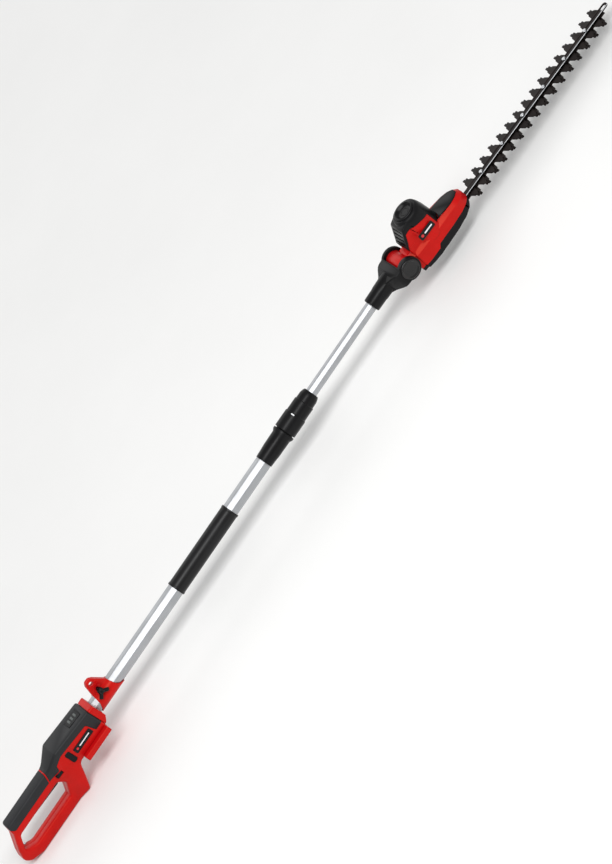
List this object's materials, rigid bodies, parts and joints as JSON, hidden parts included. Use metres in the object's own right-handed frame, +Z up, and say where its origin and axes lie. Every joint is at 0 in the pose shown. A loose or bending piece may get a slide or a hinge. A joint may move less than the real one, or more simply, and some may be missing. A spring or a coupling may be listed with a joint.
{
  "type": "pole hedge trimmer",
  "caption": "Telescopic pole hedge trimmer with a loop handle, twist clamp, tilting motor head and double-sided reciprocating blades.",
  "frame": {"origin": "on the surface it rests on (the underside of the loop handle), midway along the tool's length and width", "axes": "+X along the pole from the handle to the cutter tip, +Z up (the motor's side), +Y to the left seen from behind the handle"},
  "size_m": [1.8586, 0.076, 0.1423],
  "materials": {
    "red_plastic": "fine-textured moulded ABS, satin",
    "black_plastic": "spark-eroded texture, matt",
    "soft_grip": "soft overmould, matt",
    "aluminium": "clear anodised, satin",
    "steel": "zinc plated",
    "blade_steel": "blackened, ground cutting edges",
    "circuit_board": "solder mask",
    "lead_sheath": "PVC sheath",
    "label_film": "plain printed film"
  },
  "bodies": {
    "handle": {"handle_shell_right": "red_plastic", "handle_shell_left": "red_plastic", "grip_overmould": "soft_grip", "housing_cover": "black_plastic", "indicator_panel": "black_plastic", "front_collar": "red_plastic", "side_cap": "black_plastic", "label_plate_handle": "label_film", "shell_screw_1": "steel", "shell_screw_2": "steel", "shell_screw_3": "steel", "shell_screw_4": "steel", "battery_dock": "red_plastic", "battery_terminals": "black_plastic", "trigger_pin": "steel", "trigger_spring": "steel", "switch_module": "black_plastic", "control_board": "circuit_board", "lead_coil": "lead_sheath", "lower_tube": "aluminium", "pole_grip": "soft_grip", "clamp_body": "black_plastic", "clamp_collet": "black_plastic"},
    "clamp_nut": {"clamp_nut": "black_plastic"},
    "trigger": {"trigger": "black_plastic"},
    "lock_off": {"lock_off_button": "black_plastic"},
    "strap_clamp": {"strap_clamp_right": "red_plastic", "strap_clamp_left": "red_plastic", "strap_bolt": "steel"},
    "wing_knob": {"wing_knob": "black_plastic"},
    "upper_pole": {"upper_tube": "aluminium", "guide_bush": "black_plastic", "lead_straight": "lead_sheath", "knuckle_fork": "black_plastic", "pivot_axle": "steel", "button_spring_right": "steel", "button_spring_left": "steel"},
    "lock_button_right": {"lock_button_right": "black_plastic"},
    "lock_button_left": {"lock_button_left": "black_plastic"},
    "head": {"knuckle_barrel": "red_plastic", "head_shell_right": "red_plastic", "head_shell_left": "red_plastic", "motor_cover": "black_plastic", "motor_cap": "black_plastic", "top_inlay": "black_plastic", "label_plate_head": "label_film", "bottom_cover": "black_plastic", "motor": "steel", "gear_axle": "steel", "guide_bar": "blade_steel", "bar_screw_1": "steel", "bar_screw_2": "steel", "bar_screw_3": "steel", "bar_screw_4": "steel", "bar_screw_5": "steel", "bar_screw_6": "steel"},
    "blade_upper": {"blade_upper": "blade_steel"},
    "blade_lower": {"blade_lower": "blade_steel"},
    "drive_gear": {"drive_gear": "steel"},
    "motor_pinion": {"motor_pinion": "steel"}
  },
  "joints": [
    {"name": "telescope", "type": "slide", "parent": "handle", "child": "upper_pole", "axis": [1, 0, 0], "range_m": [-0.17, 0.36], "deforming": ["lead_coil"]},
    {"name": "clamp_nut_twist", "type": "hinge", "parent": "handle", "child": "clamp_nut", "pos_m": [0.01075, 0, 0.0802], "axis": [1, 0, 0], "range_deg": [0, 120]},
    {"name": "trigger_press", "type": "hinge", "parent": "handle", "child": "trigger", "pos_m": [-0.77725, 0, 0.0672], "axis": [0, 1, 0], "range_deg": [0, 3.5], "stiffness_Nm_per_rad": 3, "springref_deg": -2.86, "deforming": ["trigger_spring"]},
    {"name": "lock_off_press", "type": "slide", "parent": "handle", "child": "lock_off", "axis": [0, 1, 0], "range_m": [0, 0.0035], "stiffness_N_per_m": 400, "springref_m": -0.002},
    {"name": "strap_clamp_slide", "type": "slide", "parent": "handle", "child": "strap_clamp", "axis": [1, 0, 0], "range_m": [0, 0.17]},
    {"name": "wing_knob_turn", "type": "hinge", "parent": "strap_clamp", "child": "wing_knob", "pos_m": [-0.59925, 0, 0.1012], "axis": [0, 1, 0], "continuous": true},
    {"name": "lock_button_right_press", "type": "slide", "parent": "upper_pole", "child": "lock_button_right", "axis": [0, 1, 0], "range_m": [0, 0.003], "stiffness_N_per_m": 800, "springref_m": -0.002, "deforming": ["button_spring_right"]},
    {"name": "lock_button_left_press", "type": "slide", "parent": "upper_pole", "child": "lock_button_left", "axis": [0, -1, 0], "range_m": [0, 0.003], "stiffness_N_per_m": 800, "springref_m": -0.002, "deforming": ["button_spring_left"]},
    {"name": "head_tilt", "type": "hinge", "parent": "upper_pole", "child": "head", "pos_m": [0.33475, 0, 0.0786], "axis": [0, 1, 0], "range_deg": [-15, 75]},
    {"name": "blade_upper_stroke", "type": "slide", "parent": "head", "child": "blade_upper", "axis": [0.9993, 0, -0.0361], "range_m": [-0.005, 0.005]},
    {"name": "blade_lower_stroke", "type": "slide", "parent": "head", "child": "blade_lower", "axis": [0.9993, 0, -0.0361], "range_m": [-0.005, 0.005]},
    {"name": "drive_gear_spin", "type": "hinge", "parent": "head", "child": "drive_gear", "pos_m": [0.43651, 0, 0.06191], "axis": [0.0361, 0, 0.9993], "continuous": true},
    {"name": "motor_pinion_spin", "type": "hinge", "parent": "head", "child": "motor_pinion", "pos_m": [0.41023, 0, 0.06286], "axis": [0.0361, 0, 0.9993], "continuous": true}
  ],
  "couplings": [
    {"joint": "blade_lower_stroke", "follows": "blade_upper_stroke", "ratio": -1},
    {"joint": "motor_pinion_spin", "follows": "drive_gear_spin", "ratio": -4.2}
  ]
}
